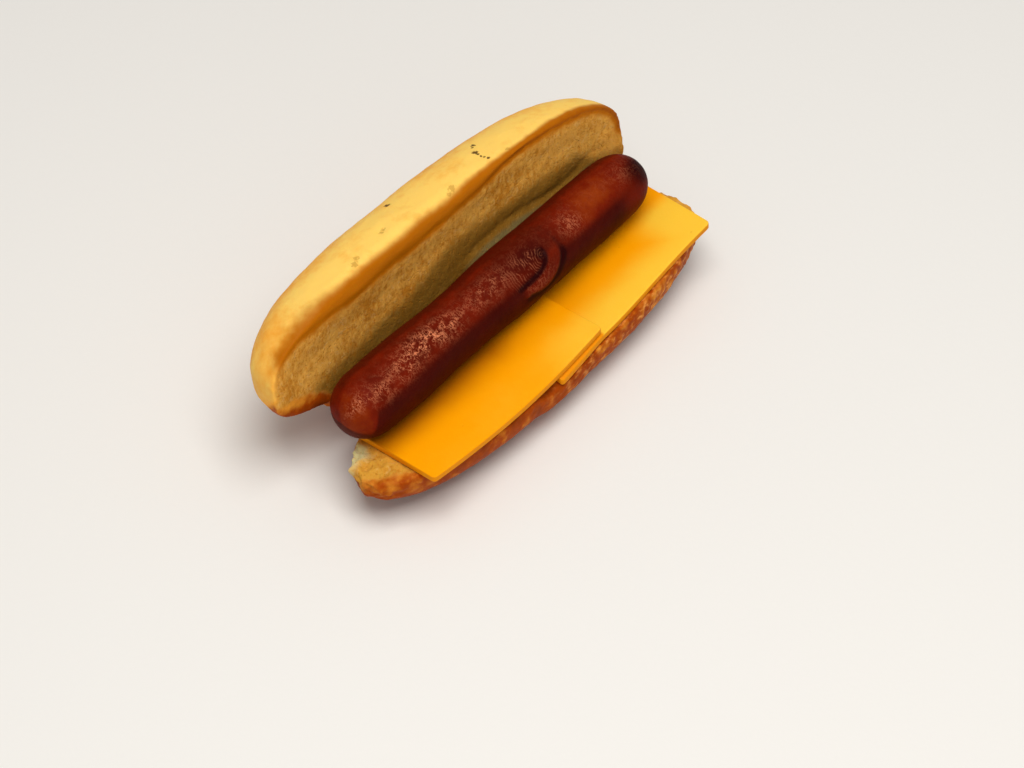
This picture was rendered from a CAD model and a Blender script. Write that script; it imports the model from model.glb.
"""An open hot dog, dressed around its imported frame: the bread, the frankfurter and two slices of cheese.

Forms are worked out in millimetres about the middle of the frankfurter, as the solids are: x runs along it
from the near end to the far end, y from the level front half of the bun to the back half that stands, and z
up. A mesh is moved to the part's frame, and turned into metres, when its object is made.
"""

import logging
import math
from dataclasses import dataclass, field
from enum import Enum

import bpy
import numpy as np
from bpy.types import ColorRamp, Material, Mesh, Node, NodeSocket, Object
from mathutils import Matrix, Vector, kdtree, noise


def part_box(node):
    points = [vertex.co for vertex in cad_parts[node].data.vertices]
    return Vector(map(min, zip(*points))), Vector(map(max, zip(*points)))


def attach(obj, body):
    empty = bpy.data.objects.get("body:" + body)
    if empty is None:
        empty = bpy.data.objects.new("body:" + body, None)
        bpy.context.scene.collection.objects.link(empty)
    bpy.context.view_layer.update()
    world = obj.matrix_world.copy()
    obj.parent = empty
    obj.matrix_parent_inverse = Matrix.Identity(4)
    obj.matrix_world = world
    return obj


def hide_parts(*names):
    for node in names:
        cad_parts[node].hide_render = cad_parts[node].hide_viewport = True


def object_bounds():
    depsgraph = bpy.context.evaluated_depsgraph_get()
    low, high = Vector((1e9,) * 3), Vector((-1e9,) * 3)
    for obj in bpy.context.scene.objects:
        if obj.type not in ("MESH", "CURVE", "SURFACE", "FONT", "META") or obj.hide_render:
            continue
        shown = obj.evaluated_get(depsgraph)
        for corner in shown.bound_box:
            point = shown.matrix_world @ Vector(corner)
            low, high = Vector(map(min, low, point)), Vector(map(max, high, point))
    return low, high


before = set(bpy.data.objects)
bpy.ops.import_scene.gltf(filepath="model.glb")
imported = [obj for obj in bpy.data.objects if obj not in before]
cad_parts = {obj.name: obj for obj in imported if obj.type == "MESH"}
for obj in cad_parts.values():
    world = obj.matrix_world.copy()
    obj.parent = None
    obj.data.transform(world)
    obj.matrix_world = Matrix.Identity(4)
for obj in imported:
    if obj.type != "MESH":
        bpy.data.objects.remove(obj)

CAD_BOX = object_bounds()
MM = 0.001
LOG = logging.getLogger("hot dog")

Array = np.ndarray
Notes = dict[str, Array]
Settings = dict[str, object]
Inputs = dict[int | str, object]
Colour = tuple[float, float, float, float]
Place = tuple[float, float, float]
Pitch = float | Place
Spot = tuple[float, float, float, float]
Step = tuple[float, float, float]
Points = tuple[tuple[float, float], ...]

X_AXIS, Z_AXIS = 0, 2


# ---- forms --------------------------------------------------------------------------------------


def ramp(x: Array | float, start: float, end: float) -> Array:
    """A number from 0 to 1 that rises smoothly as x goes from start to end.

    Args:
        x: Where to look.
        start: The last x with 0.
        end: The first x with 1. It may be less than start.

    Returns:
        The height of the ramp at each x.
    """
    t = np.clip((np.asarray(x, float) - start) / (end - start), 0, 1)
    return t * t * (3 - 2 * t)


def climb(x: Array, level: float, *steps: Step) -> Array:
    """A level that changes smoothly in steps, each a height and where along x it starts and ends."""
    return level + sum(height * ramp(x, start, end) for height, start, end in steps)


def bell(x: Array, middle: float, reach: float) -> Array:
    """A bell of height 1 about middle, which has fallen to a third at a distance of reach."""
    return np.exp(-(((x - middle) / reach) ** 2))


def bent(value: Array, power: float) -> Array:
    """A cosine or sine bent so that a circle becomes a superellipse of that power."""
    return np.sign(value) * np.abs(value) ** (2 / power)


def taper(x: Array, power: Array | float) -> Array:
    """How wide a superellipse of half length 1 is at x: 1 in the middle and 0 at its end."""
    return np.maximum(0, 1 - np.abs(x) ** power) ** (1 / np.asarray(power, float))


def crowded(count: int) -> Array:
    """Stations from -1 to 1 that crowd together towards both ends."""
    return -np.cos(np.pi * (np.arange(count) + 0.5) / count)


def uneven(a: Array, b: Array, pitch: float) -> Array:
    """The gentle unevenness of the solids, from -1 to 1, over two directions in millimetres.

    Args:
        a: Along the first direction.
        b: Along the second.
        pitch: Size of its swellings.

    Returns:
        The unevenness at each place.
    """
    first = 0.45 * np.sin(a / pitch + 1.7 * np.sin(b / (1.9 * pitch)))
    second = 0.35 * np.sin(b / (0.8 * pitch) - a / (2.3 * pitch) + 0.6)
    return first + second + 0.2 * np.sin((a + b) / (0.55 * pitch) + 2.1)


def grain(points: Array, pitch: Pitch, seed: int, octaves: int = 2) -> Array:
    """Fractal noise at points, about -1 to 1.

    Args:
        points: Places in millimetres, one row each.
        pitch: Size of the largest lumps, the same all ways or along x, y and z.
        seed: Which of many such fields.
        octaves: How many finer layers it has.

    Returns:
        The noise at each point.
    """
    places = np.asarray(points, float) / np.asarray(pitch, float) + seed * np.array([17.3, 5.1, 9.7])
    return np.array([noise.fractal(place, 0.9, 2.1, octaves) for place in places.tolist()])


def turned(points: Array, axis: int, degrees: float) -> Array:
    """Points turned about one of the axes.

    Args:
        points: Places, with their coordinates last.
        axis: Which axis, 0 for x to 2 for z.
        degrees: How far.

    Returns:
        The turned points.
    """
    c, s = math.cos(math.radians(degrees)), math.sin(math.radians(degrees))
    first, second = (axis + 1) % 3, (axis + 2) % 3
    made = np.array(points, float)
    made[..., first] = points[..., first] * c - points[..., second] * s
    made[..., second] = points[..., first] * s + points[..., second] * c
    return made


def lengths(vectors: Array) -> Array:
    """The length of each vector, never quite 0, in an axis of its own."""
    return np.maximum(np.linalg.norm(vectors, axis=-1, keepdims=True), 1e-9)


def smooth_line(corners: Array, steps: int) -> Array:
    """A smooth line through corners, a Catmull-Rom curve.

    Args:
        corners: Places in two axes, one row each.
        steps: Stretches between one corner and the next.

    Returns:
        The places along the line.
    """
    ends = np.concatenate([2 * corners[:1] - corners[1:2], corners, 2 * corners[-1:] - corners[-2:-1]])
    t = (np.arange(steps) / steps)[:, None]
    stretches = []
    for before, start, end, after in zip(ends[:-3], ends[1:-2], ends[2:-1], ends[3:]):
        curve = 2 * start + (end - before) * t + (2 * before - 5 * start + 4 * end - after) * t**2
        stretches.append((curve + (3 * start - before - 3 * end + after) * t**3) / 2)
    return np.concatenate([*stretches, corners[-1:]])


def read(table: Array | tuple[tuple[float, ...], ...], x: Array, column: int = 1) -> Array:
    """A column of a table, read at each x of its first column, with straight lines between its rows."""
    return np.interp(x, [row[0] for row in table], [row[column] for row in table])


def gathered(index: Array, rows: Array, count: int) -> Array:
    """The sums of the rows that share an index, for each index below count."""
    return np.stack([np.bincount(index, column, count) for column in rows.T], 1)


@dataclass
class Skin:
    """A closed surface on its way to becoming a mesh.

    Its points are in millimetres, one row each, and notes are values that go with each point.
    """

    points: Array
    faces: Array
    notes: Notes = field(default_factory=dict)

    @classmethod
    def loft(cls, rings: Array, tips: Array, notes: Notes) -> "Skin":
        """A closed skin through rings of points, with a tip at each end.

        Args:
            rings: Points by ring, side and axis.
            tips: The first and the last tip.
            notes: Values by ring and side.

        Returns:
            The skin, in triangles at the tips and quads between the rings.
        """
        count, sides = rings.shape[:2]
        points = np.concatenate([rings.reshape(-1, 3), tips])
        side = np.arange(sides)
        after = (side + 1) % sides
        first, last = count * sides, count * sides + 1
        faces = []
        for ring in range(count - 1):
            low, high = ring * sides, (ring + 1) * sides
            faces.append(np.stack([low + side, low + after, high + after, high + side], 1))
        quads = np.concatenate(faces)
        ends = (count - 1) * sides
        start_cap = np.stack([after, side, np.full(sides, first), np.full(sides, -1)], 1)
        end_cap = np.stack([ends + side, ends + after, np.full(sides, last), np.full(sides, -1)], 1)
        kept = {
            name: np.concatenate([value.reshape(-1), [value[0].mean(), value[-1].mean()]])
            for name, value in notes.items()
        }
        return cls(points, np.concatenate([quads, start_cap, end_cap]), kept)

    def joined(self, other: "Skin") -> "Skin":
        """This skin and another as one, with the notes that both have.

        Args:
            other: The other skin.

        Returns:
            Both as one skin.
        """
        faces = np.where(other.faces < 0, -1, other.faces + len(self.points))
        notes = {n: np.concatenate([self.notes[n], other.notes[n]]) for n in self.notes}
        return Skin(np.concatenate([self.points, other.points]), np.concatenate([self.faces, faces]), notes)

    def mesh(self, name: str, origin: Array) -> Mesh:
        """The mesh of this skin, in metres in the part's frame, smooth, with its notes as attributes.

        Args:
            name: What to call it.
            origin: Where the middle of the frankfurter lies in the part's frame, in millimetres.

        Returns:
            The new mesh.
        """
        mesh = bpy.data.meshes.new(name)
        faces = [[i for i in face if i >= 0] for face in self.faces.tolist()]
        mesh.from_pydata(((self.points + origin) * MM).tolist(), [], faces)
        mesh.shade_smooth()
        for note, values in self.notes.items():
            mesh.attributes.new(note, "FLOAT", "POINT").data.foreach_set("value", values.astype(np.float32))
        return mesh

    def remeshed(self, voxel: float) -> "Skin":
        """One even skin round all of this one's volume, without notes.

        Args:
            voxel: Side of its faces, in millimetres.

        Returns:
            The new skin.
        """
        draft = bpy.data.objects.new("draft", self.mesh("draft", np.zeros(3)))
        bpy.context.scene.collection.objects.link(draft)
        remesh = draft.modifiers.new("even", "REMESH")
        remesh.mode = "VOXEL"
        remesh.voxel_size = voxel * MM
        whole = draft.evaluated_get(bpy.context.evaluated_depsgraph_get()).to_mesh()
        points = np.empty(len(whole.vertices) * 3, np.float32)
        whole.vertices.foreach_get("co", points)
        faces = np.empty(len(whole.loops), np.int32)
        whole.loops.foreach_get("vertex_index", faces)
        made = Skin(points.reshape(-1, 3).astype(float) / MM, faces.reshape(-1, 4))
        mesh = draft.data
        bpy.data.objects.remove(draft)
        bpy.data.meshes.remove(mesh)
        return made

    def edges(self) -> Array:
        """Each edge of the quads twice, once from each end.

        Returns:
            Pairs of places in the list of points.
        """
        pairs = np.concatenate([self.faces[:, [i, (i + 1) % 4]] for i in range(4)])
        pairs = pairs[(pairs >= 0).all(1)]
        return np.concatenate([pairs, pairs[:, ::-1]])

    def eased(self, values: Array, rounds: int, share: float | Array = 0.5) -> Array:
        """Values or points moved towards the mean of their neighbours.

        Args:
            values: One row for each point.
            rounds: How many times.
            share: How far of the way each time, for all points or for each.

        Returns:
            The eased values.
        """
        pairs = self.edges()
        count = np.bincount(pairs[:, 0], minlength=len(self.points))
        flat = values.reshape(len(values), -1).astype(float)
        part = np.broadcast_to(np.asarray(share, float).reshape(-1, 1), (len(values), 1))
        for _ in range(rounds):
            mean = gathered(pairs[:, 0], flat[pairs[:, 1]], len(flat)) / count[:, None]
            flat = flat + part * (mean - flat)
        return flat.reshape(values.shape)

    def normals(self) -> Array:
        """The outward direction at each point of a skin of quads.

        Returns:
            Directions of length 1.
        """
        a, b, c, d = (self.points[self.faces[:, i]] for i in range(4))
        face = np.cross(c - a, d - b)
        sums = sum(gathered(self.faces[:, i], face, len(self.points)) for i in range(4))
        return sums / lengths(sums)

    def noted_from(self, source: "Skin") -> None:
        """Takes each point's notes from the nearest point of another skin.

        Args:
            source: The other skin.
        """
        tree = kdtree.KDTree(len(source.points))
        for index, point in enumerate(source.points.tolist()):
            tree.insert(point, index)
        tree.balance()
        near = np.array([tree.find(point)[1] for point in self.points.tolist()])
        self.notes = {name: values[near] for name, values in source.notes.items()}


# ---- shader nodes -------------------------------------------------------------------------------


def colour(code: str) -> Colour:
    """The linear colour of a code such as c98a3c, in red, green, blue and full alpha.

    Args:
        code: Six hexadecimal digits.

    Returns:
        The colour.
    """
    parts = [int(code[i : i + 2], 16) / 255 for i in (0, 2, 4)]
    red, green, blue = (c / 12.92 if c <= 0.04045 else ((c + 0.055) / 1.055) ** 2.4 for c in parts)
    return (red, green, blue, 1.0)


class Wire:
    """A value in a shader, which sums and products of Python can use."""

    def __init__(self, net: "Net", socket: NodeSocket) -> None:
        """Wraps an output socket of a net."""
        self.net = net
        self.socket = socket

    def _maths(self, operation: str, *values: "Wire | float") -> "Wire":
        """A Math node on values, in order."""
        return self.net.wire("ShaderNodeMath", {"operation": operation}, dict(enumerate(values)))

    def __add__(self, other: "Wire | float") -> "Wire":
        """The sum."""
        return self._maths("ADD", self, other)

    __radd__ = __add__

    def __sub__(self, other: "Wire | float") -> "Wire":
        """The difference."""
        return self._maths("SUBTRACT", self, other)

    def __rsub__(self, other: float) -> "Wire":
        """The difference, from a plain number."""
        return self._maths("SUBTRACT", other, self)

    def __mul__(self, other: "Wire | float") -> "Wire":
        """The product."""
        return self._maths("MULTIPLY", self, other)

    __rmul__ = __mul__

    def __abs__(self) -> "Wire":
        """The size without the sign."""
        return self._maths("ABSOLUTE", self)

    def most(self, other: "Wire | float") -> "Wire":
        """The larger of the two."""
        return self._maths("MAXIMUM", self, other)

    def sine(self) -> "Wire":
        """The sine of an angle in radians."""
        return self._maths("SINE", self)

    def ramp(self, start: float, end: float) -> "Wire":
        """A smooth rise from 0 to 1 as this goes from start to end, which may be lower than start."""
        limits = {"Value": self, "From Min": start, "From Max": end}
        return self.net.wire("ShaderNodeMapRange", {"interpolation_type": "SMOOTHSTEP"}, limits)


class Net:
    """The nodes of one material, with places in millimetres to hang patterns on."""

    def __init__(self, name: str) -> None:
        """Starts an empty material of that name.

        Args:
            name: What to call it.
        """
        self.material = bpy.data.materials.new(name)
        self.material.use_nodes = True
        self.tree = self.material.node_tree
        self.tree.nodes.clear()
        metres = self.wire("ShaderNodeTexCoord", {}, {}, "Object")
        self.place = self.vectors("SCALE", {"Vector": metres, "Scale": 1 / MM})

    def node(self, kind: str, settings: Settings, inputs: Inputs) -> Node:
        """Adds a node.

        Args:
            kind: Its type.
            settings: What it is set to, before its sockets; stops are those of its colour ramp.
            inputs: Values or wires for its input sockets, by place, name or identifier.

        Returns:
            The node.
        """
        made = self.tree.nodes.new(kind)
        for key, value in settings.items():
            if key == "stops":
                self._set_stops(made.color_ramp, value)
            else:
                setattr(made, key, value)
        by_identifier = {socket.identifier: socket for socket in made.inputs}
        for key, value in inputs.items():
            socket = by_identifier[key] if key in by_identifier else made.inputs[key]
            if isinstance(value, Wire):
                self.tree.links.new(value.socket, socket)
            else:
                socket.default_value = value
        return made

    def wire(self, kind: str, settings: Settings, inputs: Inputs, output: int | str = 0) -> Wire:
        """Adds a node, as node does, and gives one of its outputs, by place or by name."""
        return Wire(self, self.node(kind, settings, inputs).outputs[output])

    def vectors(self, operation: str, inputs: Inputs, output: int | str = 0) -> Wire:
        """A Vector Math node on inputs."""
        return self.wire("ShaderNodeVectorMath", {"operation": operation}, inputs, output)

    @staticmethod
    def _set_stops(strip: ColorRamp, stops: list[tuple[float, Colour]]) -> None:
        """Gives a colour ramp its stops.

        Args:
            strip: The colour ramp.
            stops: Each a position from 0 to 1 and its linear colour.
        """
        while len(strip.elements) < len(stops):
            strip.elements.new(1.0)
        for element, (position, shade) in zip(strip.elements, stops):
            element.position = position
            element.color = shade

    def note(self, name: str) -> Wire:
        """A value that the mesh carries at its points."""
        return self.wire("ShaderNodeAttribute", {"attribute_name": name}, {}, "Fac")

    def noise(self, pitch: Pitch, detail: float = 2.0, roughness: float = 0.5, twist: float = 0.0) -> Wire:
        """Soft noise from 0 to 1, about 0.5.

        Args:
            pitch: Size of its largest lumps in millimetres, the same all ways or along x, y and z.
            detail: How many finer layers it has.
            roughness: How strong they are.
            twist: How far it is drawn out into swirls.

        Returns:
            The noise.
        """
        sizes = pitch if isinstance(pitch, tuple) else (pitch, pitch, pitch)
        place = self.vectors("MULTIPLY", {0: self.place, 1: tuple(1 / size for size in sizes)})
        inputs = {"Vector": place, "Scale": 1.0, "Detail": detail}
        return self.wire("ShaderNodeTexNoise", {}, inputs | {"Roughness": roughness, "Distortion": twist})

    def strokes(self, pitch: Pitch, width: float, twist: float = 0.0) -> Wire:
        """A net of thin raised lines, 1 along them and 0 between, where noise crosses its middle."""
        return abs(self.noise(pitch, 1.5, 0.5, twist) - 0.5).ramp(width, width * 0.25)

    def far_from(self, place: Place, origin: Array) -> Wire:
        """The distance from a place, given in millimetres about the middle of the frankfurter."""
        return self.vectors("DISTANCE", {0: self.place, 1: tuple(np.array(place) + origin)}, "Value")

    def cells(self, pitch: float) -> Wire:
        """Distance from the middles of scattered cells, in cells."""
        return self.wire("ShaderNodeTexVoronoi", {}, {"Vector": self.place, "Scale": 1 / pitch}, "Distance")

    def mix(self, factor: Wire, first: Wire | str, second: Wire | str) -> Wire:
        """The first colour where factor is 0, and the second where it is 1.

        Args:
            factor: From 0 to 1.
            first: A colour as a wire or a code.
            second: Another.

        Returns:
            The mixed colour.
        """
        first, second = (colour(shade) if isinstance(shade, str) else shade for shade in (first, second))
        inputs = {"Factor_Float": factor, "A_Color": first, "B_Color": second}
        return self.wire("ShaderNodeMix", {"data_type": "RGBA"}, inputs, 2)

    def shades(self, value: Wire, stops: list[tuple[float, str]]) -> Wire:
        """A colour that follows a value through stops, each a value and a colour code."""
        linear = [(position, colour(code)) for position, code in stops]
        return self.wire("ShaderNodeValToRGB", {"stops": linear}, {"Fac": value}, "Color")

    def spots(self, spots: tuple[Spot, ...], origin: Array) -> Wire:
        """Small ragged spots, 1 inside and 0 outside.

        Args:
            spots: Their middles and mean radius, in millimetres about the middle of the frankfurter.
            origin: Where that middle lies in the part's frame.

        Returns:
            The spots as one mask.
        """
        ragged = (self.noise(0.8) - 0.5) * 2.2
        found = None
        for x, y, z, radius in spots:
            spot = (self.far_from((x, y, z), origin) + ragged * radius).ramp(1.2 * radius, 0.6 * radius)
            found = spot if found is None else found.most(spot)
        return found

    def finish(self, surface: Inputs, height: Wire) -> Material:
        """Closes the material.

        Args:
            surface: Values and wires for the sockets of its one surface shader.
            height: Fine relief in millimetres.

        Returns:
            The material.
        """
        bump = self.wire("ShaderNodeBump", {}, {"Height": height, "Distance": MM, "Strength": 1.0})
        shader = self.wire("ShaderNodeBsdfPrincipled", {}, surface | {"Normal": bump})
        self.node("ShaderNodeOutputMaterial", {}, {"Surface": shader})
        return self.material


# ---- finishes -----------------------------------------------------------------------------------


@dataclass(frozen=True)
class BreadFinish:
    """Baked crust that goes from pale to brown, and porous crumb that is toasted and soaked in places."""

    pale: str = "ffd168"
    golden: str = "f5a434"
    brown: str = "a64503"
    dark: str = "5c2203"
    crease: str = "b46503"
    deep: str = "8a4002"
    toasted: str = "e6a94b"
    tanned: str = "c07a20"
    flecked: str = "e4b46a"
    blister: str = "f8a850"
    soaked: str = "80591a"
    damp: str = "73663f"
    fresh: str = "d69b38"
    tip: str = "e8dca0"
    speck: str = "3c1d08"
    scorched: str = "9a6a14"

    def material(self, burnt: tuple[Spot, ...], scorched: tuple[Spot, ...], origin: Array) -> Material:
        """Makes the material.

        Args:
            burnt: Small black flecks on the crust, in millimetres about the middle of the frankfurter.
            scorched: Fainter ochre ones.
            origin: Where that middle lies in the part's frame.

        Returns:
            The material.
        """
        net = Net("bread")
        broad, patchy, fine = net.noise(16, 3, 0.55), net.noise(4.5, 4, 0.6), net.noise(0.9, 3, 0.6)
        streaky = net.noise((1.5, 2.2, 3.0), 3, 0.65)
        soaked = (net.note("soaked") + (streaky - 0.5) * 0.5 + (broad - 0.5) * 0.4).ramp(0.1, 0.9)
        pores = net.cells(1.5).ramp(0.28, 0.06).most(net.cells(0.8).ramp(0.3, 0.05) * 0.6)

        bake = net.note("bake") + (broad - 0.5) * 0.45 + (patchy - 0.5) * 0.4 + (fine - 0.5) * 0.1
        stops = [(0.06, self.pale), (0.36, self.golden), (0.68, self.brown), (1.0, self.dark)]
        blistered = net.noise((3.0, 1.8, 1.8), 3, 0.5).ramp(0.48, 0.76) * net.note("blistered")
        crust = net.mix(blistered, net.shades(bake, stops), self.blister)
        crust = net.mix(net.spots(scorched, origin) * 0.45, crust, self.scorched)
        crust = net.mix(net.spots(burnt, origin) * 0.9, crust, self.speck)

        toast = (streaky * 0.6 + fine * 0.3 + broad * 0.5 + net.note("fresh") * 0.15).ramp(0.52, 0.84)
        stale = (patchy * 0.6 + streaky * 0.4).ramp(0.5, 0.62) * 0.6
        dry = net.mix(toast, self.tanned, self.toasted)
        cut = net.mix(net.note("fresh"), dry, net.mix(stale, self.fresh, self.tanned))
        cut = net.mix((net.note("tip") + (patchy - 0.5) * 0.8).ramp(0.2, 0.9), cut, self.tip)
        cut = net.mix(soaked * 0.9, cut, self.soaked)
        cut = net.mix((net.note("damp") + (patchy - 0.5) * 0.4).ramp(0.25, 0.8) * 0.85, cut, self.damp)
        flecked = net.noise(2.2, 3, 0.65, 0.5).ramp(0.54, 0.68) * (1 - soaked * 0.85)
        cut = net.mix(pores * 0.4, net.mix(flecked * 0.45, cut, self.flecked), self.tanned)

        crumb = net.note("crumb")
        crease = (net.note("crease") + (patchy - 0.5) * 0.3 + (broad - 0.5) * 0.2).ramp(0.02, 0.98)
        worn = net.mix(net.note("crease").ramp(1.0, 1.4), self.crease, self.deep)
        fuzz = (fine - 0.5) * 0.3 - pores * 0.18 + (net.noise(0.35, 2) - 0.5) * 0.14
        wrinkles = (net.noise(2.2, 3, 0.55, 0.6) - 0.5) * 0.14 + (fine - 0.5) * 0.06
        height = wrinkles + crumb * (fuzz - wrinkles)
        surface = {
            "Base Color": net.mix(crease, net.mix(crumb, crust, cut), worn),
            "Roughness": 0.5 + crumb * 0.34 + (fine - 0.5) * 0.16 - soaked * crumb * 0.15,
            "Specular IOR Level": 0.05,
            "Subsurface Weight": 0.12,
            "Subsurface Radius": (1.0, 0.5, 0.2),
            "Subsurface Scale": 0.0015,
        }
        return net.finish(surface, height)


@dataclass(frozen=True)
class SausageFinish:
    """Browned, greasy skin: maroon, redder and more orange in places, with fine dry wrinkles."""

    maroon: str = "520f02"
    red: str = "6f1702"
    orange: str = "8e3406"
    char: str = "280001"
    dry: str = "da8058"
    ring_pitch: float = 1.05

    def material(self, cut: Place, origin: Array) -> Material:
        """Makes the material.

        Args:
            cut: Where the skin is cut through, in millimetres about the middle of the frankfurter.
            origin: Where that middle lies in the part's frame.

        Returns:
            The material.
        """
        net = Net("sausage skin")
        broad, patchy, fine = net.noise(12, 3, 0.55), net.noise(3, 4, 0.6), net.noise(0.6, 2, 0.6)
        tone = net.note("tone") + (broad - 0.5) * 0.8 + (patchy - 0.5) * 0.4
        skin = net.shades(tone, [(0.1, self.maroon), (0.5, self.red), (1.0, self.orange)])
        charred = (net.note("char") + (patchy - 0.5) * 0.4).ramp(0.1, 0.95)
        skin = net.mix(charred, skin, self.char)

        tangled = net.strokes((0.9, 2.0, 2.0), 0.06, 0.6).most(net.strokes((1.5, 1.2, 1.2), 0.045, 1.0))
        turns = self.ring_pitch / (2 * math.pi)
        rings = (net.far_from(cut, origin) * (1 / turns) + net.noise(3, 3) * 19).sine().ramp(0.1, 0.95)
        broken = net.noise(3.2, 3, 0.6).ramp(0.36, 0.56)
        dry = (net.note("dry") * tangled).most(net.note("rings") * rings * 0.38) * broken
        height = (fine - 0.5) * 0.05 + (net.noise(1.3, 3, 0.6, 0.8) - 0.5) * 0.12 + dry * 0.1
        surface = {
            "Base Color": net.mix(dry * 0.8, skin, self.dry),
            "Roughness": 0.5 + (patchy - 0.5) * 0.2,
            "Specular IOR Level": 0.04,
            "Subsurface Weight": 0.06,
            "Subsurface Radius": (1.0, 0.2, 0.1),
            "Subsurface Scale": 0.002,
        }
        return net.finish(surface, height)


@dataclass(frozen=True)
class CheeseFinish:
    """Smooth processed cheese, deep yellow to pale, stained by the meat and darker down its sides."""

    deep: str = "ffa200"
    pale: str = "ffc83a"
    side: str = "ea920c"
    stain: str = "a85a02"
    pit: str = "d98600"

    def material(self) -> Material:
        """Makes the material.

        Returns:
            The material.
        """
        net = Net("sliced cheese")
        broad, patchy, pits = net.noise(18, 2), net.noise(3.5, 3, 0.55), net.cells(9).ramp(0.05, 0.02)
        pale = (net.note("pale") + (broad - 0.5) * 0.4 + (patchy - 0.5) * 0.12).ramp(0.0, 1.0)
        stained = (net.note("stain") + (broad - 0.5) * 0.3).ramp(0, 1)
        shade = net.mix(stained, net.mix(pale, self.deep, self.pale), self.stain)
        shade = net.mix(pits * 0.3, net.mix(net.note("side"), shade, self.side), self.pit)
        height = (net.noise(5, 2) - 0.5) * 0.1 + (net.noise(0.7, 2) - 0.5) * 0.02 - pits * 0.06
        surface = {
            "Base Color": shade,
            "Roughness": 0.5 + (patchy - 0.5) * 0.12,
            "Specular IOR Level": 0.04,
            "Subsurface Weight": 0.15,
            "Subsurface Radius": (1.0, 0.55, 0.1),
            "Subsurface Scale": 0.0015,
        }
        return net.finish(surface, height)


@dataclass(frozen=True)
class FloorFinish:
    """Plain pale board with the faintest tooth."""

    board: str = "eeedeb"

    def material(self) -> Material:
        """Makes the material.

        Returns:
            The material.
        """
        net = Net("pale board")
        tooth = net.noise(2.5, 3)
        surface = {"Base Color": colour(self.board), "Roughness": 0.6 + (tooth - 0.5) * 0.1}
        return net.finish(surface, (tooth - 0.5) * 0.05)


# ---- sub-assemblies -----------------------------------------------------------------------------


@dataclass(frozen=True)
class Sizes:
    """Sizes that more than one piece needs, in millimetres and degrees."""

    clearance: float = 0.35
    frank_length: float = 150
    frank_middle: float = -0.8
    frank_diameter: float = 22.6
    slice_thickness: float = 2.6
    fold_y: float = 11
    front_tilt: float = 3.5
    back_lean: float = 78
    back_turn: float = -2.1
    rest_depth: float = 18.6

    def onto_front(self, points: Array) -> Array:
        """Moves points from the front half's own frame, with z out of its cut, to their place."""
        drop = self.frank_diameter / 2 + self.slice_thickness + 2 * self.clearance
        return turned(points + np.array([0, self.fold_y, -drop]), X_AXIS, -self.front_tilt)

    def fold(self) -> Array:
        """The middle of the fold, about which the two halves are opened."""
        return self.onto_front(np.zeros(3))

    def onto_back(self, points: Array) -> Array:
        """Moves points from the back half's own frame, with z out of its cut, to their place."""
        return turned(turned(points, X_AXIS, self.back_lean), Z_AXIS, self.back_turn) + self.fold()

    def out_of_front(self, points: Array) -> Array:
        """Places of the part, in the front half's own frame."""
        return turned(points - self.fold(), X_AXIS, self.front_tilt)

    def out_of_back(self, points: Array) -> Array:
        """Places of the part, in the back half's own frame."""
        return turned(turned(points - self.fold(), Z_AXIS, -self.back_turn), X_AXIS, -self.back_lean)

    def origin(self) -> Array:
        """Where the middle of the frankfurter lies in the part's frame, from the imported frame.

        Returns:
            The place in millimetres.
        """
        low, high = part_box("frankfurter")
        middle = np.array((low + high) / 2) / MM
        return np.array([middle[0] - self.frank_middle, middle[1], self.rest_depth - self.fold()[2]])


class Side(Enum):
    """The two halves of the bun, each with the direction in which it reaches from the fold."""

    FRONT = -1
    BACK = 1


@dataclass(frozen=True)
class Press:
    """How the cheese lies: sunk at its warm outer edge, and pressed into the bread where it is doubled."""

    droop_x: float = -26
    droop_half: float = 42
    droop_depth: float = 3
    droop_start: float = 29
    droop_end: float = 44
    depth: float = 2.95
    down_from: float = -21
    down_to: float = -10
    up_from: float = 22
    up_to: float = 68
    remains: float = 0.1

    def droop(self, x: Array, from_fold: Array | float) -> Array:
        """How far the outer edge has sunk over the rim.

        Args:
            x: Along the bun.
            from_fold: How far out from the fold.

        Returns:
            The depths in millimetres.
        """
        along = np.maximum(0, 1 - ((x - self.droop_x) / self.droop_half) ** 2)
        across = np.maximum(0, (from_fold - self.droop_start) / (self.droop_end - self.droop_start))
        return self.droop_depth * along * across**2

    def pressed(self, x: Array) -> Array:
        """How far the bread is pressed down.

        Args:
            x: Along the bun.

        Returns:
            The depths in millimetres.
        """
        down = ramp(x, self.down_from, self.down_to)
        up = ramp(x, self.up_from, self.up_to) * (1 - self.remains)
        return self.depth * (down - up)


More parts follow.
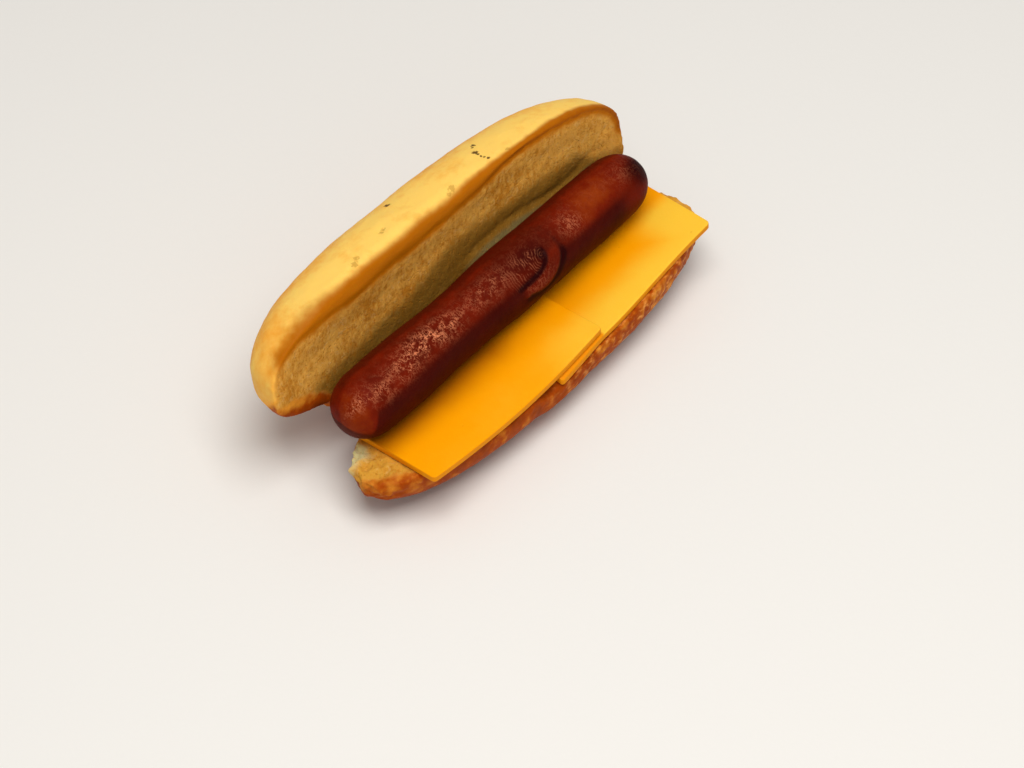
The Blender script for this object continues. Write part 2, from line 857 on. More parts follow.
@dataclass(frozen=True)
class BunHalf:
    """One half of the bun in its own frame: x along it, y from the fold, and z out of its cut.

    The tables go along x and are the back half's. GROOVE says how far from the fold the soft groove of the
    crumb runs, CREASE how far inside the edge the rim ends, and HEEL how high the crumb's lower border lies
    at the near end. BROWNING says where the rim's brown starts and where it is full, measured from the edge
    of the cut: over the crust where it is less than 0, and down the cut where it is more.
    """

    side: Side
    middle_x: float
    length: float
    width: float
    hinge: float
    thickness: float
    lip: float
    rim_width: float
    crumb_dip: float
    near_power: float
    far_power: float
    near_filling: float
    far_filling: float
    fold_power: float
    section_power: float
    profile_power: float = 3
    fold_edge: float = 0.5
    stations: int = 300
    crust_sides: int = 84
    roll_sides: int = 8
    face_sides: int = 66
    rim_steps: int = 500
    roll_share: float = 0.6
    least_brim: float = 0.8

    HINGE_MIDDLE = 6.5
    HINGE_REACH = 66.5
    HINGE_POWER = 2.6
    GROOVE = (
        (-2, 16.8), (5, 18.6), (14, 19.4), (22, 19.6), (29, 19.3), (35, 18.6), (43, 17.6), (51, 17.4),
        (60, 18.8), (67, 20.6),
    )
    CREASE = (
        (-80, 0.8), (-74, 1.6), (-66, 4), (-58, 6), (-48, 8), (-20, 9), (-8, 8.3), (0, 7.6), (12, 6.6),
        (24, 4.2), (36, 2.8), (48, 2.2), (60, 1.9), (72, 1.6),
    )
    BROWNING = (
        (-80, -10, 2), (-66, -12, 3), (-58, -10, 2), (-48, -5.6, 3), (-36, -4, 3), (-24, -3.5, 4),
        (-12, -4.5, 3.5), (0, -4, 4), (12, -4, 1.5), (24, -3.2, 0.5), (36, -3.4, 0), (48, -4.8, -0.6),
        (60, -5, -1), (75, -4.5, 0),
    )
    HEEL = ((-85.5, 19), (-80.6, 17.8), (-73.4, 15.1), (-66.1, 10.6), (-56, 0))
    HEEL_RADIUS = 40
    HEEL_DROP = 0.2
    HEEL_ENDS = (-58, -72)

    def outline(self, x: Array) -> Array:
        """How far the cut reaches to either side of its middle line, at x."""
        s = np.clip((x - self.middle_x) / (self.length / 2), -1, 1)
        return self.width / 2 * taper(s, np.where(s < 0, self.near_power, self.far_power))

    def from_edge(self, x: Array, y: Array) -> Array:
        """How far inside the outer edge of the cut each place lies.

        Args:
            x: Along the half.
            y: From the fold.

        Returns:
            The distances in millimetres.
        """
        rim_x = self.middle_x + self.length / 2 * crowded(self.rim_steps)
        gap = np.full(x.shape, np.inf)
        for rx, ry in zip(rim_x, self.width / 2 + self.outline(rim_x)):
            gap = np.minimum(gap, (x - rx) ** 2 + (y - ry) ** 2)
        return np.sqrt(gap)

    def skin(self, press: Press, sizes: Sizes) -> Skin:
        """The half as a smooth closed skin in its place, with notes of where on it each point lies.

        Args:
            press: How the cheese presses on the front half.
            sizes: Shared sizes, which place it.

        Returns:
            The skin, with notes of its half, of the turn round the crust from the rim, and of how far
            inside the edge of the cut each point lies, which is -1 on the crust.
        """
        front = self.side is Side.FRONT
        middle = self.width / 2
        s = crowded(self.stations)[:, None]
        x = self.middle_x + self.length / 2 * s
        reach = self.outline(x)
        wide = reach / middle
        from_hinge = np.clip((x - self.HINGE_MIDDLE) / self.HINGE_REACH, -1, 1)
        hinge = self.hinge * taper(from_hinge, self.HINGE_POWER)
        filling = np.where(s < 0, self.near_filling, self.far_filling) * (1 - taper(s, self.fold_power))
        inner = np.maximum(reach + filling, reach / 4)
        lip = self.lip * wide
        depth = (self.thickness - self.lip) * taper(s, self.profile_power)
        sink = press.droop(x, self.width) + press.pressed(x) if front else 0 * x

        turn = np.pi * (1 - np.linspace(0, 1, self.crust_sides))[None, :]
        arm = np.where(np.cos(turn) < 0, inner + hinge, reach)
        crust_y = middle + arm * bent(np.cos(turn), self.section_power)
        crust_z = -lip - depth * bent(np.sin(turn), self.section_power) - sink * (1 - ramp(turn, 0, 0.6))
        heel = 0 * x if front else self.HEEL_DROP * ramp(x, *self.HEEL_ENDS)
        crust_z = crust_z - heel * ramp(turn, np.pi / 2, np.pi)

        roll = (np.pi / 2) * np.linspace(0, 1, self.roll_sides + 1)[None, 1:]
        brim = np.minimum(np.maximum(self.roll_share * self.crease_at(x), self.least_brim), reach / 2)
        roll_y = middle + reach - brim * (1 - np.cos(roll))
        roll_z = -lip + lip * np.sin(roll) - sink

        share = np.linspace(0, 1, self.face_sides + 1)[None, 1:]
        start = middle + reach - brim
        end = middle - inner + self.fold_edge * wide
        face_y = start + (end - start) * share
        face_x = np.broadcast_to(x, face_y.shape)
        inside = self.from_edge(face_x, face_y)
        cut_z = self.cut_height(face_x, face_y, inside - brim, wide, press)
        face_z = np.maximum(cut_z, -lip - heel - sink + 0.2)

        y = np.concatenate([crust_y, roll_y, face_y], 1)
        z = np.concatenate([crust_z, roll_z, face_z], 1)
        rings = np.stack([x + 0 * y, self.side.value * y, z], -1)
        notes = {
            "turn": np.concatenate([turn + 0 * crust_y, 0 * roll_y, 0 * face_y], 1),
            "inside": np.concatenate([-1 + 0 * crust_y, brim * (1 - np.cos(roll)), inside], 1),
            "half": np.full(y.shape, float(self.side.value)),
        }
        tip_x = self.middle_x + self.length / 2 * np.array([-1, 1])
        tips = np.stack([tip_x, np.full(2, self.side.value * middle), np.full(2, -self.lip)], 1)
        place = sizes.onto_front if front else sizes.onto_back
        return Skin.loft(place(rings), place(tips), notes)

    def crease_at(self, x: Array) -> Array:
        """How far inside the edge the rim ends: the back half's thins out towards both ends.

        Args:
            x: Along the bun.

        Returns:
            The distances in millimetres.
        """
        if self.side is Side.FRONT:
            return self.rim_width + 0 * x
        return read(self.CREASE, x)

    def heel(self, x: Array, y: Array) -> Array:
        """How far each place lies below the crumb's lower border at the near end, less than 0 above it."""
        return read(self.HEEL, x) - y

    def groove_at(self, x: Array) -> Array:
        """How far from the fold the soft groove in the crumb runs."""
        return read(smooth_line(np.array(self.GROOVE), 6), x)

    def cut_height(self, x: Array, y: Array, past_roll: Array, wide: Array, press: Press) -> Array:
        """How high the cut face stands: from the roll of the rim through a crease to the sunken crumb.

        Args:
            x: Along the half.
            y: From the fold.
            past_roll: How far inside the rim's roll each place lies.
            wide: How wide the half is there, 1 in its middle.
            press: How the cheese presses on the front half.

        Returns:
            The heights over the level of the cut.
        """
        if self.side is Side.FRONT:
            return -press.pressed(x) - press.droop(x, y)
        crease = bell(past_roll, (1 - self.roll_share) * self.crease_at(x), 1.4) * ramp(past_roll, 0, 0.9)
        level = -self.crumb_dip * wide * ramp(past_roll, 0, 14) - 0.34 * crease * np.minimum(1, 2 * wide)
        groove_y = self.groove_at(x)
        grooved = ramp(x, -4, 14) * ramp(x, 74, 48)
        groove = 0.4 * bell(y, groove_y, 1.2) + 0.25 * bell(y, groove_y, 3)
        ledge = (self.crumb_dip + 0.8) * ramp(y, groove_y, groove_y - 8) * ramp(y, 2, 10)
        below = np.clip(self.heel(x, y), 0, self.HEEL_RADIUS)
        heel = self.HEEL_RADIUS - np.sqrt(self.HEEL_RADIUS**2 - below**2)
        return level + (ledge - groove) * grooved - heel + 0.3 * uneven(x, y, 9) * wide


class BreadPlaces:
    """Where each point of the bread's even skin lies: on which half, and how far from its borders."""

    def __init__(self, skin: Skin, sizes: Sizes, back: BunHalf) -> None:
        """Looks up the places of a skin that has its notes.

        Args:
            skin: The even skin.
            sizes: Shared sizes.
            back: The back half.
        """
        self.points = skin.points
        self.front = skin.notes["half"] < 0
        self.turn, self.inside = skin.notes["turn"], skin.notes["inside"]
        on_front, on_back = sizes.out_of_front(self.points), sizes.out_of_back(self.points)
        self.front_x, self.out, self.front_z = on_front[:, 0], -on_front[:, 1], on_front[:, 2]
        self.back_x, self.up, self.back_z = on_back.T
        self.past_crease = self.inside - back.crease_at(self.back_x)
        self.below_heel = back.heel(self.back_x, self.up)
        rough = np.where(self.front, 1.2, 0.4)
        self.ragged = 0.5 * grain(self.points, 2.5, 1) + rough * grain(self.points, 5, 2)


class Bun:
    """The bread: both halves and the uncut strip along the fold.

    BURNT and SCORCHED are small flecks on the back half's crust, and SOAK says how far from the fold the
    crumb is stained along x. A bake is a level, then steps round the crust: a rise, and where it starts and
    ends. UNDER_CHEESE is the box over the front half, x, y and z in its own frame, where cheese may press.
    """

    BURNT = (
        (26.5, 31.9, 26.8, 0.9), (25.4, 31.0, 27.0, 0.55), (23.2, 28.1, 28.2, 1.0), (23.0, 26.6, 28.5, 0.6),
        (22.9, 25.2, 28.8, 0.5), (23.2, 23.8, 29.0, 0.5), (23.4, 22.5, 29.0, 0.75), (-11.7, 36.1, 25.7, 1.0),
    )
    SCORCHED = (
        (-23.0, 28.1, 28.7, 0.9), (-24.4, 27.5, 28.7, 0.9), (5.2, 22.7, 29.3, 1.4), (3.0, 21.6, 29.2, 1.1),
        (-37.9, 26.6, 28.6, 1.2), (-40.3, 25.1, 28.2, 1.3), (31.4, 20.7, 28.4, 0.9),
    )
    SOAK = (
        (-82, 11), (-60, 14.5), (-36, 17), (-24, 18), (-12, 22), (0, 26), (12, 25.5), (24, 24.5), (48, 23.5),
        (60, 22), (72, 13),
    )
    BACK_BAKE = (0.04, (0.3, 0.15, 0.9), (0.3, 1.6, 2.6))
    FRONT_BAKE = (0.74, (0.1, 0.1, 0.9), (0.06, 1.2, 2.5))
    NEAR_END_BAKE = 0.26
    UNDER_CHEESE = ((-70, 83), (-46.5, 12), (-math.inf, 4))
    ROOM_POWER = 8
    PRESSED_GAP = 0.1
    BOX_GAP = 0.02
    VOXEL = 0.7

    def __init__(self, sizes: Sizes, press: Press) -> None:
        """Takes the shared sizes and the way the cheese lies.

        Args:
            sizes: Shared sizes.
            press: How the cheese lies.
        """
        self.sizes = sizes
        self.press = press
        self.front = BunHalf(
            Side.FRONT, middle_x=1, length=164.8, width=44, hinge=16, thickness=20.5, lip=3, rim_width=1.6,
            crumb_dip=0, near_power=2.4, far_power=2.9, near_filling=-4, far_filling=2, fold_power=3.2,
            section_power=2.3,
        )
        self.back = BunHalf(
            Side.BACK, middle_x=-3.4, length=168.2, width=47, hinge=17.5, thickness=29.5, lip=5.5,
            rim_width=4.8, crumb_dip=2.4, near_power=2.5, far_power=2.65, near_filling=2, far_filling=10,
            fold_power=3, section_power=2.5,
        )

    def build(self, finish: BreadFinish) -> Object:
        """Makes the bread and dresses it.

        Args:
            finish: Crust and crumb.

        Returns:
            The bread.
        """
        halves = self.front.skin(self.press, self.sizes).joined(self.back.skin(self.press, self.sizes))
        skin = halves.remeshed(self.VOXEL)
        skin.noted_from(halves)
        self.soften_fold(skin)
        at = BreadPlaces(skin, self.sizes, self.back)
        skin.notes = self.masks(skin, at)
        self.raise_relief(skin, at)
        self.make_room(skin)
        origin = self.sizes.origin()
        material = finish.material(self.BURNT, self.SCORCHED, origin)
        return placed("bun_bread", skin, material, origin, "bun")

    def soften_fold(self, skin: Skin) -> None:
        """Rounds the fold, as bread that is bent there, and the front half's torn end.

        Args:
            skin: The even skin, whose points are moved.
        """
        fold = self.sizes.fold()
        below = ramp(skin.points[:, 2], fold[2] + 4, fold[2] - 4)
        near = bell(skin.points[:, 1], fold[1] + 8, 14) * below
        skin.points = skin.eased(skin.points, 12, near * 0.5)
        end = (skin.notes["half"] < 0) * ramp(skin.points[:, 0], -64, -70)
        skin.points = skin.eased(skin.points, 10, end * 0.5)

    def crumb(self, at: BreadPlaces) -> Array:
        """Where the cut bread shows, 1, and where crust does, 0.

        Args:
            at: Where the points lie.

        Returns:
            The share of crumb at each point.
        """
        bare_ends = np.maximum(ramp(at.points[:, 0], -64.5, -66.5), ramp(at.points[:, 0], 79, 81))
        rim = 0.5 * self.front.rim_width + 3.2 * ramp(at.front_x, -64, -70) * ramp(at.out, 18, 28)
        front = ramp(at.inside - rim + at.ragged, -0.5, 0.5) * np.maximum(bare_ends, ramp(at.out, 38, 34))
        torn = ramp(at.front_x, -70, -75) * ramp(at.out, 26, 19)
        torn = torn * ramp(at.front_z + 1.5 * at.ragged, -6, -4)
        back = ramp(at.past_crease + at.ragged, -0.6, 2)
        back = back * ramp(at.below_heel + 1.5 * at.ragged, 0.8, -0.8)
        return np.where(at.front, np.maximum(front, torn), back)

    def rim_share(self, at: BreadPlaces) -> Array:
        """How near each place of the crust lies to the rim, from 0 to 1."""
        return ramp(at.turn, 1.1, 0.4)

    def bake(self, at: BreadPlaces) -> Array:
        """How brown the crust is baked, from 0 to 1.

        Args:
            at: Where the points lie.

        Returns:
            The bake at each point.
        """
        near_end = ramp(at.back_x, -60, -78) * ramp(at.turn, 3, 2.3)
        back = climb(at.turn, *self.BACK_BAKE) * (1 - near_end) + self.NEAR_END_BAKE * near_end
        heel = 0.44 + 0.3 * ramp(at.back_x, -77, -65) + 0.3 * ramp(at.below_heel, 2, 6)
        back = np.where((at.inside > 0) & (at.below_heel > -2), heel, back)
        paler = 0.35 * ramp(at.points[:, 0], 74, 80) * ramp(at.turn, 0.9, 0.3)
        paler = paler + 0.12 * ramp(at.points[:, 0], -55, -75)
        paler = paler + 0.35 * np.minimum(1, 1.6 * self.blisters(at.points)) * self.rim_share(at)
        return np.where(at.front, climb(at.turn, *self.FRONT_BAKE) - paler, back)

    def crease(self, at: BreadPlaces) -> Array:
        """How brown the back half's rim is, down to the darker line where it ends.

        Args:
            at: Where the points lie.

        Returns:
            The brown at each point, from 0 to about 1.
        """
        x, ragged = at.back_x, at.ragged
        over = self.back.width / 2 + self.back.outline(x) - at.up + 1.1 * np.minimum(at.back_z, 0)
        over = over + (0.6 + 1.2 * bell(x, -66, 14)) * ragged
        brown = ramp(over, read(self.back.BROWNING, x, 1), read(self.back.BROWNING, x, 2))
        fades = 0.75 * ramp(at.past_crease + ragged, 3, -0.5) + 0.25 * ramp(at.past_crease, 14, 0)
        line = 0.25 * bell(at.past_crease + 0.5 * ragged, -0.3, 1.4) * (0.3 + 0.7 * ramp(x, -10, 30))
        crease = (brown * ramp(x, -87, -80) * fades + line) * ramp(at.below_heel, 1, -3)
        return np.where(at.front, 0, crease)

    def masks(self, skin: Skin, at: BreadPlaces) -> Notes:
        """What the finish needs to know at each point.

        Args:
            skin: The even skin.
            at: Where its points lie.

        Returns:
            crumb, bake, crease, blistered, fresh, tip, soaked and damp, each from 0 to about 1.
        """
        x, along = at.back_x, at.points[:, 0]
        crumb = skin.eased(self.crumb(at), 1)
        front_crumb, back_crumb = crumb * at.front, crumb * ~at.front
        blistered = 0.8 * self.rim_share(at) * ramp(along, -30, 30)
        soaked = ramp(at.up - read(self.SOAK, x) + at.ragged, 8, -5)
        damp = ramp(at.up - self.back.groove_at(x) + 0.7 * at.ragged, 0, -4)
        return {
            "crumb": crumb,
            "bake": skin.eased(self.bake(at), 4),
            "crease": skin.eased(self.crease(at), 1),
            "blistered": blistered * at.front * (1 - crumb),
            "fresh": front_crumb,
            "tip": ramp(along, -66, -73) * ramp(at.out, 22, 12) * front_crumb,
            "soaked": skin.eased(soaked * back_crumb, 3),
            "damp": skin.eased(damp * ramp(x, -12, 16) * ramp(x, 72, 58) * back_crumb, 2),
        }

    def blisters(self, points: Array) -> Array:
        """How far the small blisters of the front half's crust stand out, from 0 to about 1."""
        share = 0.4 + 0.6 * ramp(points[:, 0], -10, 20)
        return share * np.maximum(0, grain(points, (1.9, 1.6, 1.6), 5) + 0.05) ** 1.1

    def raise_relief(self, skin: Skin, at: BreadPlaces) -> None:
        """Moves the points out and in: blisters and dents of the crust, and the torn, open crumb.

        Args:
            skin: The even skin, with its masks as notes.
            at: Where the points lie.
        """
        points, crumb, along = at.points, skin.notes["crumb"], at.points[:, 0]
        upper = at.front * ramp(points[:, 2], -26, -18)
        dents = 0
        for *place, radius in self.SCORCHED:
            dents = dents + bell(np.linalg.norm(points - place, axis=1), 0, 1.7 * radius)
        crust = 0.3 * grain(points, (22, 14, 14), 3) + 0.17 * grain(points, (6, 4, 4), 4)
        crust = crust + upper * ramp(at.turn, 1.3, 0.5) * (0.9 * self.blisters(points) - 0.2)
        bare = at.front * (ramp(along, -66, -72) + ramp(along, 80, 83))
        cut = (0.25 + 1.3 * bare) * grain(points, 3.2, 6, 3)
        torn = 1.5 * upper * ramp(along, -70, -80) * grain(points, (5, 3, 2), 7)
        out = (crust - 0.1 - 0.35 * dents) * (1 - crumb) + cut * crumb + torn
        skin.points = points + skin.normals() * skin.eased(out, 1)[:, None]

    def make_room(self, skin: Skin) -> None:
        """Keeps the bread clear of the cheese, the frankfurter and the surface that it rests on.

        Args:
            skin: The even skin, whose points are moved.
        """
        sizes = self.sizes
        own = sizes.out_of_front(skin.points)
        level = self.PRESSED_GAP - self.press.pressed(own[:, 0]) - self.press.droop(own[:, 0], -own[:, 1])
        low, high = np.transpose(self.UNDER_CHEESE)
        under = ((own > low) & (own < high)).all(1)
        own[:, 2] = np.where(under, np.minimum(own[:, 2], level), own[:, 2])
        x, y, z = sizes.onto_front(own).T
        half = sizes.frank_length / 2 + sizes.clearance
        blunt = taper(np.clip((x - sizes.frank_middle) / half, -1, 1), self.ROOM_POWER)
        room = (sizes.frank_diameter / 2 + sizes.clearance) * blunt
        push = np.maximum(1, room / np.maximum(np.hypot(y, z), 1e-6))
        low, high = (np.array(corner) / MM - sizes.origin() for corner in CAD_BOX)
        inset = self.BOX_GAP * np.array([1, 1, 0])
        skin.points = np.clip(np.stack([x, y * push, z * push], 1), low + inset, high - self.BOX_GAP)


@dataclass(frozen=True)
class Patch:
    """A soft-edged patch of the frankfurter's skin: its strength, then place and reach along and round."""

    share: float
    x: float
    reach: float
    turn: float
    spread: float = 17

    def on(self, x: Array, degrees: Array) -> Array:
        """How strong it is at each place."""
        return self.share * bell(x, self.x, self.reach) * bell(degrees, self.turn, self.spread)


class Frankfurter:
    """The sausage: a blunt-ended round with wrinkled skin that has split and curled back in one place.

    Places on its skin are in millimetres along it, and in degrees round it from its back side over the top.
    The split starts at CUT, and the skin that has curled back lies between the lines CURL and TEAR.
    """

    END_LENGTH = 14
    END_POWER = 2.3
    RINGS = 470
    SIDES = 190
    FACING = 115
    CUT = (16.5, 126)
    CURL = ((23.7, 121), (24.1, 140), (22.7, 155), (18.3, 176), (12.4, 184), (5.8, 174))
    TEAR = ((17.4, 122), (16.2, 139), (10.9, 149), (2.1, 150))
    ORANGE = Patch(0.5, 46, 13, 105, 28)
    PURPLE = Patch(0.4, 11, 13, 100, 38)
    BURNT = Patch(0.55, 12, 9, 112, 26)
    PEELED = Patch(0.25, 10, 8, 158, 20)
    WRINKLED = Patch(1.0, 8, 10, 120, 24)
    DRY = (
        Patch(0.6, -71, 4, 112), Patch(0.6, -62, 6, 122), Patch(0.9, -50, 5, 118), Patch(1.3, -40, 8, 108),
        Patch(1.0, -29, 7, 113), Patch(0.6, -8, 9, 112), Patch(0.5, 33, 4.5, 117), Patch(0.15, 62, 6, 110),
    )

    def __init__(self, sizes: Sizes) -> None:
        """Takes the shared sizes, and lays out the places on the skin.

        Args:
            sizes: Shared sizes.
        """
        self.sizes = sizes
        self.radius = sizes.frank_diameter / 2
        self.half = sizes.frank_length / 2
        x = (self.half * crowded(self.RINGS))[:, None]
        self.x, self.angle = np.broadcast_arrays(x, 2 * np.pi * np.arange(self.SIDES) / self.SIDES)
        self.degrees = np.degrees(self.angle)
        self.curl, self.tear = -self.beyond(self.CURL), self.beyond(self.TEAR)
        cut_x, cut_turn = self.CUT
        self.from_cut = np.hypot(self.x - cut_x, (self.angle - math.radians(cut_turn)) * self.radius)
        curled = ramp(self.curl, 0.1, 1.8) * ramp(self.tear, 0, 1.4)
        self.flap = curled * ramp(self.degrees, 118, 136) * ramp(self.x, 1, 6)

    def beyond(self, corners: Points) -> Array:
        """How far the places on the skin lie from a smooth line: less than 0 on its left.

        Args:
            corners: What the line goes through.

        Returns:
            The distances in millimetres.
        """
        here = np.stack([self.x, self.angle * self.radius], -1)
        line = smooth_line(np.array([(x, math.radians(turn) * self.radius) for x, turn in corners]), 6)
        best, beyond = np.full(self.x.shape, np.inf), np.zeros(self.x.shape)
        for start, end in zip(line[:-1], line[1:]):
            along = end - start
            t = np.clip(((here - start) @ along) / (along @ along), 0, 1)
            away = here - start - t[..., None] * along
            far = np.hypot(away[..., 0], away[..., 1])
            left = along[0] * away[..., 1] - along[1] * away[..., 0]
            beyond = np.where(far < best, -np.sign(left) * far, beyond)
            best = np.minimum(far, best)
        return beyond

    def rings(self, radius: Array | float) -> Array:
        """Points at a radius from the axis, by ring and side."""
        return np.stack([self.x, radius * np.cos(self.angle), radius * np.sin(self.angle)], -1)

    def relief(self) -> Array:
        """How far the skin stands out from a plain round: swellings, lumps, wrinkles and the split.

        Returns:
            The heights in millimetres, by ring and side.
        """
        plain = self.rings(self.radius).reshape(-1, 3)
        lumps = grain(plain, (11, 8, 8), 11).reshape(self.x.shape)
        wrinkles = 1 - 2 * np.abs(grain(plain, (1.5, 5, 5), 12)).reshape(self.x.shape)
        facing = bell(self.angle, math.radians(self.FACING), 0.6)
        split = 0.25 * self.flap - 0.2 * bell(self.curl, 0, 0.5) - 0.2 * bell(self.tear, 0, 0.5)
        split = split - 0.4 * bell(self.from_cut, 0, 1.1)
        fine = 0.18 * lumps + 0.07 * wrinkles * (0.4 + 0.6 * facing) + split
        swelling = 0.3 * np.sin(self.x / 13) + 0.2 * np.sin(self.x / 7.3 + 1)
        return swelling + fine * (1 - ramp(np.sin(self.angle), -0.5, -0.9))

    def notes(self) -> Notes:
        """What the finish needs to know at each point.

        Returns:
            tone, char, dry and rings, each from 0 to about 1.
        """
        x, degrees, flap = self.x, self.degrees, self.flap
        tone = 0.3 + 0.4 * ramp(x, -62, -74) + self.ORANGE.on(x, degrees) - self.PURPLE.on(x, degrees)
        edge = 138 + 50 * ramp(x, -67, -71) + 4 * ramp(x, -60, -66)
        shaded = ramp(degrees, edge - 12, edge + 13) * (1 - 0.5 * flap) * (1 - 0.75 * ramp(x, 52, 64))
        far_end = 0.6 * ramp(x, 54, 66) * bell(degrees, 122, 26)
        far_end = far_end + 0.4 * ramp(x, 62, 71) * ramp(degrees, 60, 95) * ramp(degrees, 170, 145)
        split = 0.85 * bell(self.from_cut, 0, 2.0) + self.BURNT.on(x, degrees) * (1 - flap)
        split = split + 0.45 * bell(self.curl, -0.5, 1.3) + 0.45 * bell(self.tear, -0.1, 0.9)
        dry = sum(patch.on(x, degrees) for patch in self.DRY) + 0.06 * bell(degrees, 100, 34)
        return {
            "tone": tone + 0.12 * flap - 0.25 * ramp(degrees, 74, 58),
            "char": 0.63 * shaded + far_end + split,
            "dry": dry + self.PEELED.on(x, degrees) * flap,
            "rings": self.WRINKLED.on(x, degrees) * ramp(self.tear, 0, -1),
        }

    def build(self, finish: SausageFinish) -> Object:
        """Makes the frankfurter and dresses it.

        Args:
            finish: Its skin.

        Returns:
            The frankfurter.
        """
        middle = np.array([self.sizes.frank_middle, 0, 0])
        into_end = np.clip((np.abs(self.x) - (self.half - self.END_LENGTH)) / self.END_LENGTH, 0, 1)
        rings = self.rings((self.radius + self.relief()) * taper(into_end, self.END_POWER))
        tips = np.array([[-self.half, 0, 0], [self.half, 0, 0]])
        skin = Skin.loft(rings + middle, tips + middle, self.notes())
        cut_x, cut_turn = self.CUT
        cut = turned(np.array([cut_x, self.radius, 0]), X_AXIS, cut_turn) + middle
        origin = self.sizes.origin()
        material = finish.material(tuple(cut), origin)
        return placed("frankfurter_skin", skin, material, origin, "frankfurter")


@dataclass(frozen=True)
class CheeseSlice:
    """One cut piece of sliced cheese, lying on the front half."""

    name: str
    node: str
    x: float
    reach: float
    turn: float
    bow: float
    presses: bool
    length: float = 85
    width: float = 35.5
    corner: float = 0.9
    rounding: float = 0.5
    columns: int = 150
    rows: int = 64
    steps: int = 5

    def flat_grid(self) -> tuple[Array, Array]:
        """The flat top inside its rounded edge, and the direction out of the slice at its border.

        Returns:
            Places from the middle of the slice, by row and column, and directions, both in two axes.
        """
        reach = np.array([self.length, self.width]) / 2 - self.rounding
        lines = [np.linspace(-r, r, n + 1) for r, n in zip(reach, (self.columns, self.rows))]
        flat = np.stack(np.meshgrid(*lines), -1)
        corner = np.maximum(np.abs(flat) - (reach - self.corner), 0) / self.corner
        both = (corner > 0).all(-1, keepdims=True)
        scale = corner.max(-1, keepdims=True) / lengths(corner)
        rounded = (reach - self.corner + corner * scale * self.corner) * np.sign(flat)
        out = np.where(both, corner, np.abs(flat) > reach - 1e-6) * np.sign(flat)
        return np.where(both, rounded, flat), out / lengths(out)

    def slab(self, thickness: float) -> tuple[Array, Array]:
        """The flat slice with its rounded edges.

        Args:
            thickness: How thick it is.

        Returns:
            Its points, from the middle of its underside, and its faces.
        """
        flat, outward = self.flat_grid()
        index = np.arange(flat.size // 2).reshape(flat.shape[:2])
        border = np.concatenate([index[0, :-1], index[:-1, -1], index[-1, :0:-1], index[:0:-1, 0]])
        flat, edge, out = flat.reshape(-1, 2), flat.reshape(-1, 2)[border], outward.reshape(-1, 2)[border]
        phi = np.linspace(0, np.pi / 2, self.steps + 1)[1:]
        profile = [(math.sin(p), thickness - self.rounding * (1 - math.cos(p))) for p in phi]
        profile += [(math.cos(p), self.rounding * (1 - math.sin(p))) for p in np.append(0, phi[:-1])]
        rounded = [(edge + out * far * self.rounding, z) for far, z in profile]
        layers = [(flat, thickness), *rounded, (flat, 0)]
        points = np.concatenate([np.insert(places, 2, z, axis=1) for places, z in layers])

        under = len(points) - len(flat)
        starts = len(flat) + len(border) * np.arange(len(profile))
        loops = [border, *(start + np.arange(len(border)) for start in starts), under + border]
        sides = [
            np.stack([upper, lower, np.roll(lower, -1), np.roll(upper, -1)], 1)
            for upper, lower in zip(loops[:-1], loops[1:])
        ]
        top = np.stack([index[:-1, :-1], index[:-1, 1:], index[1:, 1:], index[1:, :-1]], -1).reshape(-1, 4)
        return points, np.concatenate([top, *sides, (top + under)[:, ::-1]])

    def build(self, finish: Material, sizes: Sizes, press: Press) -> Object:
        """Makes the slice, lays it on the bread and dresses it.

        Args:
            finish: The cheese's material.
            sizes: Shared sizes.
            press: How the cheese lies.

        Returns:
            The slice.
        """
        thickness = sizes.slice_thickness
        places, faces = self.slab(thickness)
        along, across = places[:, 0] + self.length / 2, places[:, 1] + self.width / 2
        u, v = along / self.length, across / self.width
        across = across - self.bow * 4 * u * (1 - u) * (1 - v)
        c, s = math.cos(math.radians(self.turn)), math.sin(math.radians(self.turn))
        x = self.x + along * c + across * s
        from_fold = self.reach - across * c - along * s
        lies = -press.droop(x, from_fold) - (np.maximum(press.pressed(x), 0) if self.presses else 0)
        waves = 0.1 * uneven(x, from_fold, 8)
        own = np.stack([x, -from_fold, lies + waves + sizes.clearance + places[:, 2]], 1)

        side = ramp(places[:, 2], thickness - 0.15, thickness - self.rounding)
        if self.presses:
            far_end = 0.95 * ramp(x, 50, 72) * ramp(from_fold, 14, 24)
            pale = np.maximum(0.9 * ramp(from_fold, 22, 40), far_end)
            side = np.maximum(side, ramp(x, 17.4, 16.6))
        else:
            pale = 0.12 * ramp(from_fold, 20, 40) + 0.6 * ramp(x, -22, 20) * ramp(from_fold, 25, 38)
        stain = 0.8 * ramp(from_fold, 33, 17.5) * (1 - 0.55 * ramp(x, -16, 8) - 0.25 * ramp(x, 20, 40))
        skin = Skin(sizes.onto_front(own), faces, {"pale": pale, "side": side, "stain": stain})
        return placed(self.name, skin, finish, sizes.origin(), self.node)


def placed(name: str, skin: Skin, material: Material, origin: Array, node: str) -> Object:
    """Turns a skin into a piece of the hot dog.

    Args:
        name: The piece's name.
        skin: Its surface.
        material: Its material.
        origin: Where the middle of the frankfurter lies in the part's frame, in millimetres.
        node: The solid that it stands for.

    Returns:
        The piece, riding on the root body.
    """
    piece = bpy.data.objects.new(name, skin.mesh(name, origin))
    bpy.context.scene.collection.objects.link(piece)
    piece.data.materials.append(material)
    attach(piece, "root")
    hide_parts(node)
    LOG.info("%s: %d faces, stands for %s", name, len(piece.data.polygons), node)
    return piece


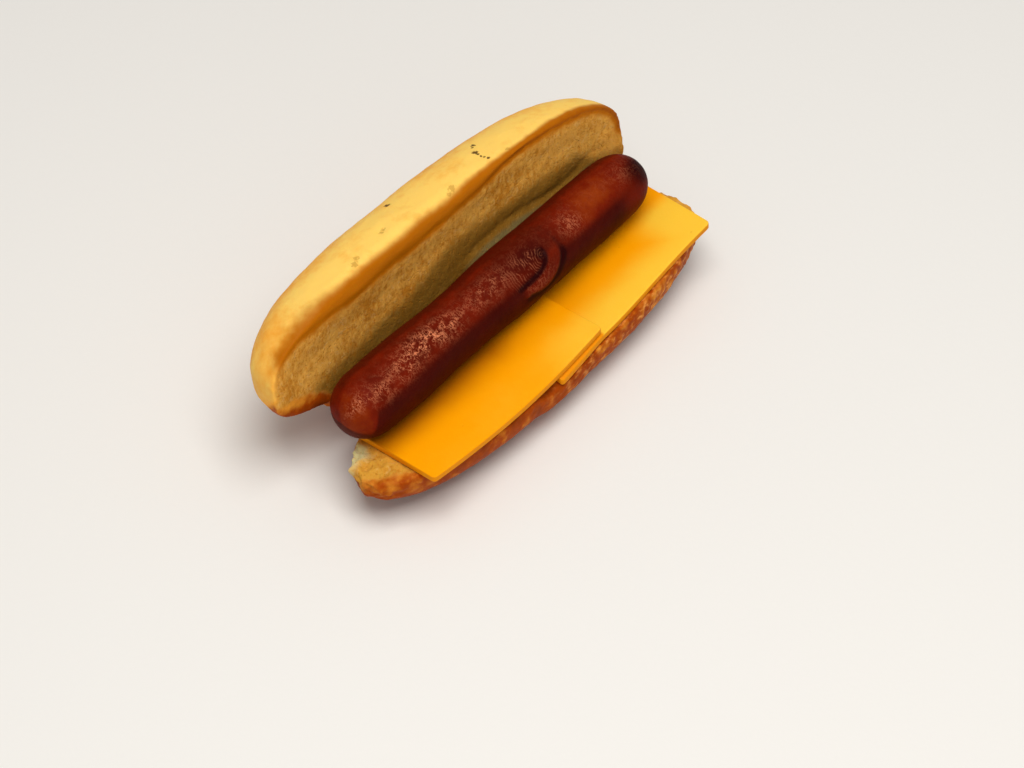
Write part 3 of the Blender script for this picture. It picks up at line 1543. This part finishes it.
@dataclass(frozen=True)
class Studio:
    """The pale floor, the soft lights and the camera, in metres and degrees."""

    azimuth: float = -50.2
    elevation: float = 48.0
    distance: float = 1.248
    aside: float = -0.0055
    above: float = 0.0306
    lens: float = 133.6
    floor_size: float = 4.0
    lamp_size: float = 0.8
    lamp_colour: Place = (1.0, 0.97, 0.92)
    room_colour: Colour = (1.0, 0.97, 0.93, 1.0)
    room_strength: float = 0.33

    LAMPS = (
        ("overhead", (-0.15, -0.25, 1.15), 11.4),
        ("front", (-0.7, -0.9, 0.5), 1.2),
    )

    def directions(self) -> tuple[Vector, Vector, Vector]:
        """The camera's right, its up, and the direction from what it looks at back to it.

        Returns:
            The three directions, of length 1.
        """
        a, e = math.radians(self.azimuth), math.radians(self.elevation)
        back = Vector((math.sin(a) * math.cos(e), -math.cos(a) * math.cos(e), math.sin(e)))
        right = Vector((math.cos(a), math.sin(a), 0))
        return right, back.cross(right), back

    def camera(self, target: Vector) -> None:
        """Makes the camera, set aside so that the target lies off the middle of the picture.

        Args:
            target: What it looks at.
        """
        right, up, back = self.directions()
        data = bpy.data.cameras.new("camera")
        data.lens = self.lens
        eye = target + back * self.distance - right * self.aside - up * self.above
        camera = bpy.data.objects.new("camera", data)
        turn = Matrix((right, up, back)).transposed().to_4x4()
        camera.matrix_world = Matrix.Translation(eye) @ turn
        bpy.context.scene.collection.objects.link(camera)
        bpy.context.scene.camera = camera

    def floor(self, finish: FloorFinish) -> None:
        """Makes the floor that the hot dog rests on.

        Args:
            finish: The board.
        """
        half = self.floor_size / 2
        mesh = bpy.data.meshes.new("floor")
        corners = [(-half, -half, 0), (half, -half, 0), (half, half, 0), (-half, half, 0)]
        mesh.from_pydata(corners, [], [(0, 1, 2, 3)])
        mesh.materials.append(finish.material())
        floor = bpy.data.objects.new("floor", mesh)
        bpy.context.scene.collection.objects.link(floor)

    def light(self, name: str, place: Place, power: float) -> None:
        """Adds a square soft light that faces the hot dog.

        Args:
            name: What to call it.
            place: Where it hangs, in metres.
            power: Its power in watts.
        """
        data = bpy.data.lights.new(name, "AREA")
        data.size = self.lamp_size
        data.energy = power
        data.color = self.lamp_colour
        lamp = bpy.data.objects.new(name, data)
        lamp.location = place
        lamp.rotation_euler = Vector(place).to_track_quat("Z", "Y").to_euler()
        bpy.context.scene.collection.objects.link(lamp)

    def build(self, target: Vector) -> None:
        """Sets up the floor, the lights and the camera.

        Args:
            target: What the camera looks at.
        """
        scene = bpy.context.scene
        scene.view_settings.view_transform = "Standard"
        scene.world = bpy.data.worlds.new("soft room")
        scene.world.use_nodes = True
        background = scene.world.node_tree.nodes["Background"]
        background.inputs["Color"].default_value = self.room_colour
        background.inputs["Strength"].default_value = self.room_strength
        self.floor(FloorFinish())
        for name, place, power in self.LAMPS:
            self.light(name, place, power)
        self.camera(target)


def main() -> None:
    """Builds the hot dog piece by piece, then the studio."""
    logging.basicConfig(level=logging.INFO, format="%(name)s: %(message)s")
    sizes, press = Sizes(), Press()
    Bun(sizes, press).build(BreadFinish())
    Frankfurter(sizes).build(SausageFinish())
    cheese = CheeseFinish().material()
    near = CheeseSlice("near_slice", "cheese_near", x=-68, reach=42, turn=0, bow=1, presses=False)
    far = CheeseSlice("far_slice", "cheese_far", x=-6.4, reach=44, turn=3.2, bow=0, presses=True)
    for cheese_slice in (near, far):
        cheese_slice.build(cheese, sizes, press)
    Studio().build(Vector(sizes.origin()) * MM)


if __name__ == "__main__":
    main()
